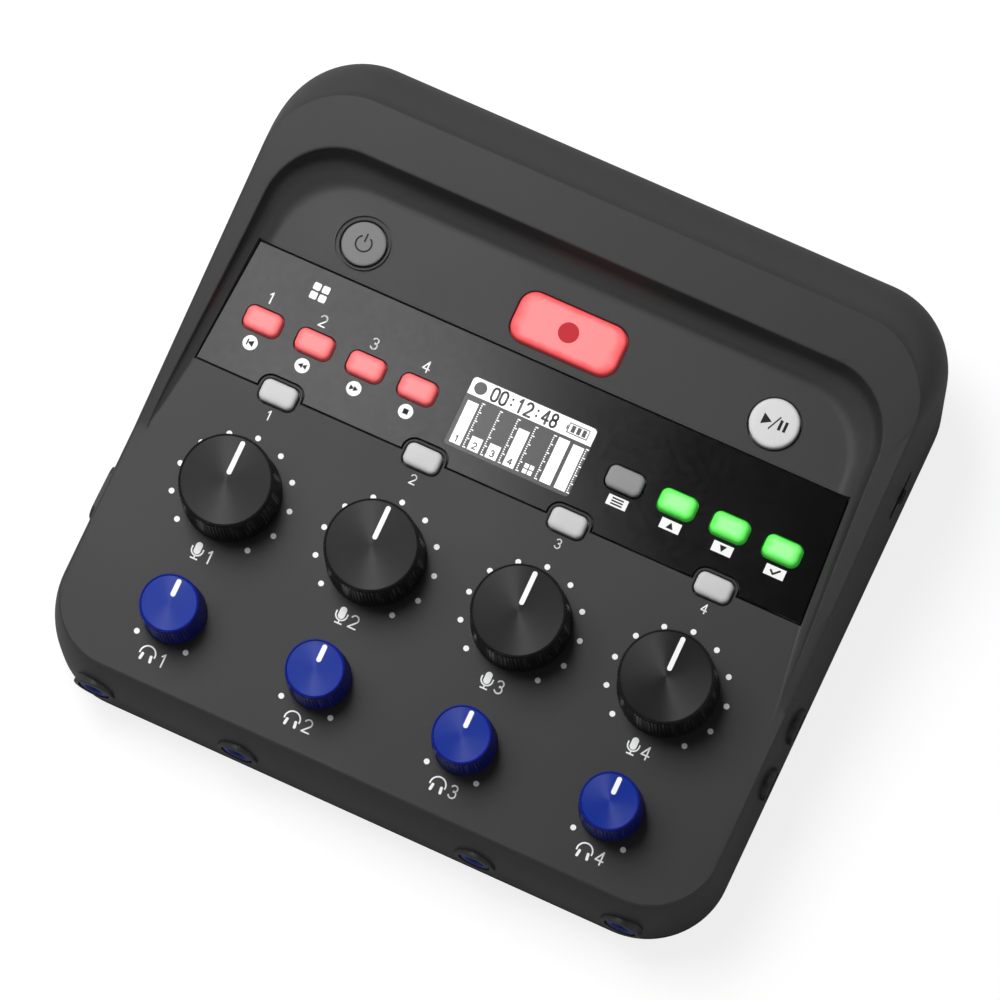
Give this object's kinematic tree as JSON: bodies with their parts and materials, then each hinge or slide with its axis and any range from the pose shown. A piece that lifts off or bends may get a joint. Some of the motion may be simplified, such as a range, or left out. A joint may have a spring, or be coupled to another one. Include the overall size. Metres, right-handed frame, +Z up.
{
  "type": "podcast recorder",
  "caption": "Table-top podcast recorder with level knobs, headphone knobs, mute keys, sound pads, a display and record keys on a tilted, sunken panel.",
  "frame": {"origin": "centre of the footprint, on the surface that the feet stand on", "axes": "+X to the right along the channels, +Y to the rear where the microphone sockets are, +Z up"},
  "size_m": [0.1556, 0.146, 0.047],
  "materials": {
    "case_plastic": "fine moulded texture",
    "base_plastic": "fine moulded texture",
    "foot_rubber": "matte",
    "board": "solder mask over glass laminate",
    "inlay": "satin to gloss film",
    "display": "lit monochrome display",
    "pot_metal": "plated",
    "shell_metal": "plated",
    "black_knob": "spun face with a fine knurl",
    "blue_knob": "spun face with a fine knurl",
    "blue_ring": "satin",
    "socket_plastic": "satin",
    "cell_sleeve": "printed sleeve",
    "red_key": "lit translucent silicone",
    "green_key": "lit translucent silicone",
    "pale_key": "translucent silicone",
    "white_key": "satin",
    "grey_key": "satin"
  },
  "bodies": {
    "case": {"top_cover": "case_plastic", "bottom_cover": "base_plastic", "foot_front_left": "foot_rubber", "foot_rear_left": "foot_rubber", "foot_front_right": "foot_rubber", "foot_rear_right": "foot_rubber", "main_board": "board", "panel_board": "board", "panel_inlay": "inlay", "display_module": "display", "mic_pot_1": "pot_metal", "mic_pot_2": "pot_metal", "mic_pot_3": "pot_metal", "mic_pot_4": "pot_metal", "headphone_pot_1": "pot_metal", "headphone_pot_2": "pot_metal", "headphone_pot_3": "pot_metal", "headphone_pot_4": "pot_metal", "headphone_jack_1": "blue_ring", "headphone_jack_2": "blue_ring", "headphone_jack_3": "blue_ring", "headphone_jack_4": "blue_ring", "mic_socket_1": "socket_plastic", "mic_socket_2": "socket_plastic", "mic_socket_3": "socket_plastic", "mic_socket_4": "socket_plastic", "phone_jack": "socket_plastic", "line_jack": "socket_plastic", "data_port": "shell_metal", "card_slot": "shell_metal", "cell_1": "cell_sleeve", "cell_2": "cell_sleeve", "cell_3": "cell_sleeve", "cell_4": "cell_sleeve"},
    "mic_knob_1": {"mic_knob_1": "black_knob"},
    "mic_knob_2": {"mic_knob_2": "black_knob"},
    "mic_knob_3": {"mic_knob_3": "black_knob"},
    "mic_knob_4": {"mic_knob_4": "black_knob"},
    "headphone_knob_1": {"headphone_knob_1": "blue_knob"},
    "headphone_knob_2": {"headphone_knob_2": "blue_knob"},
    "headphone_knob_3": {"headphone_knob_3": "blue_knob"},
    "headphone_knob_4": {"headphone_knob_4": "blue_knob"},
    "sound_pad_a": {"sound_pad_a": "red_key"},
    "sound_pad_b": {"sound_pad_b": "red_key"},
    "sound_pad_c": {"sound_pad_c": "red_key"},
    "sound_pad_d": {"sound_pad_d": "red_key"},
    "menu_button": {"menu_button": "grey_key"},
    "tone_button": {"tone_button": "green_key"},
    "compressor_button": {"compressor_button": "green_key"},
    "noise_button": {"noise_button": "green_key"},
    "mute_button_1": {"mute_button_1": "pale_key"},
    "mute_button_2": {"mute_button_2": "pale_key"},
    "mute_button_3": {"mute_button_3": "pale_key"},
    "mute_button_4": {"mute_button_4": "pale_key"},
    "record_button": {"record_button": "red_key"},
    "play_button": {"play_button": "white_key"},
    "power_button": {"power_button": "grey_key"},
    "slide_switch": {"slide_switch": "socket_plastic"},
    "battery_door": {"battery_door": "base_plastic"}
  },
  "joints": [
    {"name": "mic_knob_1_turn", "type": "hinge", "parent": "case", "child": "mic_knob_1", "pos_m": [-0.05025, -0.0255, 0.02988], "axis": [0, -0.0872, 0.9962], "range_deg": [-140, 140]},
    {"name": "mic_knob_2_turn", "type": "hinge", "parent": "case", "child": "mic_knob_2", "pos_m": [-0.01675, -0.0255, 0.02988], "axis": [0, -0.0872, 0.9962], "range_deg": [-140, 140]},
    {"name": "mic_knob_3_turn", "type": "hinge", "parent": "case", "child": "mic_knob_3", "pos_m": [0.01675, -0.0255, 0.02988], "axis": [0, -0.0872, 0.9962], "range_deg": [-140, 140]},
    {"name": "mic_knob_4_turn", "type": "hinge", "parent": "case", "child": "mic_knob_4", "pos_m": [0.05025, -0.0255, 0.02988], "axis": [0, -0.0872, 0.9962], "range_deg": [-140, 140]},
    {"name": "headphone_knob_1_turn", "type": "hinge", "parent": "case", "child": "headphone_knob_1", "pos_m": [-0.05025, -0.05339, 0.02744], "axis": [0, -0.0872, 0.9962], "range_deg": [-140, 140]},
    {"name": "headphone_knob_2_turn", "type": "hinge", "parent": "case", "child": "headphone_knob_2", "pos_m": [-0.01675, -0.05339, 0.02744], "axis": [0, -0.0872, 0.9962], "range_deg": [-140, 140]},
    {"name": "headphone_knob_3_turn", "type": "hinge", "parent": "case", "child": "headphone_knob_3", "pos_m": [0.01675, -0.05339, 0.02744], "axis": [0, -0.0872, 0.9962], "range_deg": [-140, 140]},
    {"name": "headphone_knob_4_turn", "type": "hinge", "parent": "case", "child": "headphone_knob_4", "pos_m": [0.05025, -0.05339, 0.02744], "axis": [0, -0.0872, 0.9962], "range_deg": [-140, 140]},
    {"name": "sound_pad_a_press", "type": "slide", "parent": "case", "child": "sound_pad_a", "axis": [0, 0.0872, -0.9962], "range_m": [0, 0.0008], "stiffness_N_per_m": 300, "springref_m": -0.0006},
    {"name": "sound_pad_b_press", "type": "slide", "parent": "case", "child": "sound_pad_b", "axis": [0, 0.0872, -0.9962], "range_m": [0, 0.0008], "stiffness_N_per_m": 300, "springref_m": -0.0006},
    {"name": "sound_pad_c_press", "type": "slide", "parent": "case", "child": "sound_pad_c", "axis": [0, 0.0872, -0.9962], "range_m": [0, 0.0008], "stiffness_N_per_m": 300, "springref_m": -0.0006},
    {"name": "sound_pad_d_press", "type": "slide", "parent": "case", "child": "sound_pad_d", "axis": [0, 0.0872, -0.9962], "range_m": [0, 0.0008], "stiffness_N_per_m": 300, "springref_m": -0.0006},
    {"name": "menu_button_press", "type": "slide", "parent": "case", "child": "menu_button", "axis": [0, 0.0872, -0.9962], "range_m": [0, 0.0008], "stiffness_N_per_m": 300, "springref_m": -0.0006},
    {"name": "tone_button_press", "type": "slide", "parent": "case", "child": "tone_button", "axis": [0, 0.0872, -0.9962], "range_m": [0, 0.0008], "stiffness_N_per_m": 300, "springref_m": -0.0006},
    {"name": "compressor_button_press", "type": "slide", "parent": "case", "child": "compressor_button", "axis": [0, 0.0872, -0.9962], "range_m": [0, 0.0008], "stiffness_N_per_m": 300, "springref_m": -0.0006},
    {"name": "noise_button_press", "type": "slide", "parent": "case", "child": "noise_button", "axis": [0, 0.0872, -0.9962], "range_m": [0, 0.0008], "stiffness_N_per_m": 300, "springref_m": -0.0006},
    {"name": "mute_button_1_press", "type": "slide", "parent": "case", "child": "mute_button_1", "axis": [0, 0.0872, -0.9962], "range_m": [0, 0.0008], "stiffness_N_per_m": 300, "springref_m": -0.0006},
    {"name": "mute_button_2_press", "type": "slide", "parent": "case", "child": "mute_button_2", "axis": [0, 0.0872, -0.9962], "range_m": [0, 0.0008], "stiffness_N_per_m": 300, "springref_m": -0.0006},
    {"name": "mute_button_3_press", "type": "slide", "parent": "case", "child": "mute_button_3", "axis": [0, 0.0872, -0.9962], "range_m": [0, 0.0008], "stiffness_N_per_m": 300, "springref_m": -0.0006},
    {"name": "mute_button_4_press", "type": "slide", "parent": "case", "child": "mute_button_4", "axis": [0, 0.0872, -0.9962], "range_m": [0, 0.0008], "stiffness_N_per_m": 300, "springref_m": -0.0006},
    {"name": "record_button_press", "type": "slide", "parent": "case", "child": "record_button", "axis": [0, 0.0872, -0.9962], "range_m": [0, 0.0008], "stiffness_N_per_m": 300, "springref_m": -0.0006},
    {"name": "play_button_press", "type": "slide", "parent": "case", "child": "play_button", "axis": [0, 0.0872, -0.9962], "range_m": [0, 0.0008], "stiffness_N_per_m": 300, "springref_m": -0.0006},
    {"name": "power_button_press", "type": "slide", "parent": "case", "child": "power_button", "axis": [0, 0.0872, -0.9962], "range_m": [0, 0.0008], "stiffness_N_per_m": 300, "springref_m": -0.0006},
    {"name": "slide_switch_slide", "type": "slide", "parent": "case", "child": "slide_switch", "axis": [0, 1, 0], "range_m": [-0.0036, 0.0036]},
    {"name": "battery_door_slide", "type": "slide", "parent": "case", "child": "battery_door", "axis": [0, 1, 0], "range_m": [0, 0.04]}
  ]
}
